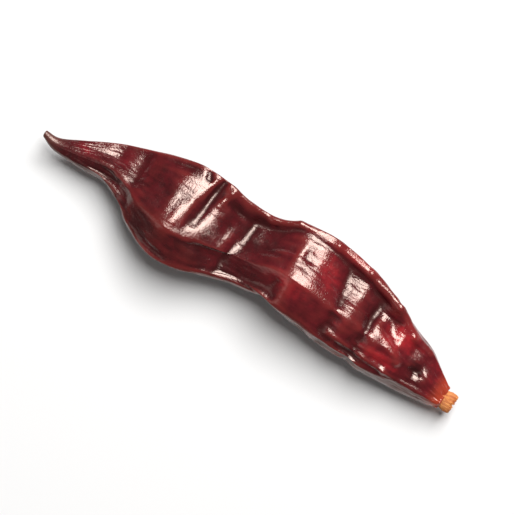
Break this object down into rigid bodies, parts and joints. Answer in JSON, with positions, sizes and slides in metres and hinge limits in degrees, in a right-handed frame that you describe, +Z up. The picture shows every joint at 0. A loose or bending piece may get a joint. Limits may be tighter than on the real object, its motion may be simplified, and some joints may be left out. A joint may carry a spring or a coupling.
{
  "type": "dried chilli pepper",
  "caption": "Whole dried red chilli pod lying on its side, curved and pointed, with sunken glossy panels, long ridges and the stub of a snapped-off stem.",
  "frame": {"origin": "on the surface that the pod lies on, under the middle of its bounding box", "axes": "+X along the pod from its pointed tip towards the neck and stem stub, +Y towards the outside of its bend, +Z up"},
  "size_m": [0.0584, 0.0141, 0.0081],
  "materials": {
    "chilli_skin": "glossy, wrinkled, dark maroon going to bright red where the skin is thin",
    "stem_fibre": "dry, fibrous, straw yellow to orange"
  },
  "bodies": {
    "root": {"pod": "chilli_skin", "stem_stub": "stem_fibre"}
  },
  "joints": []
}
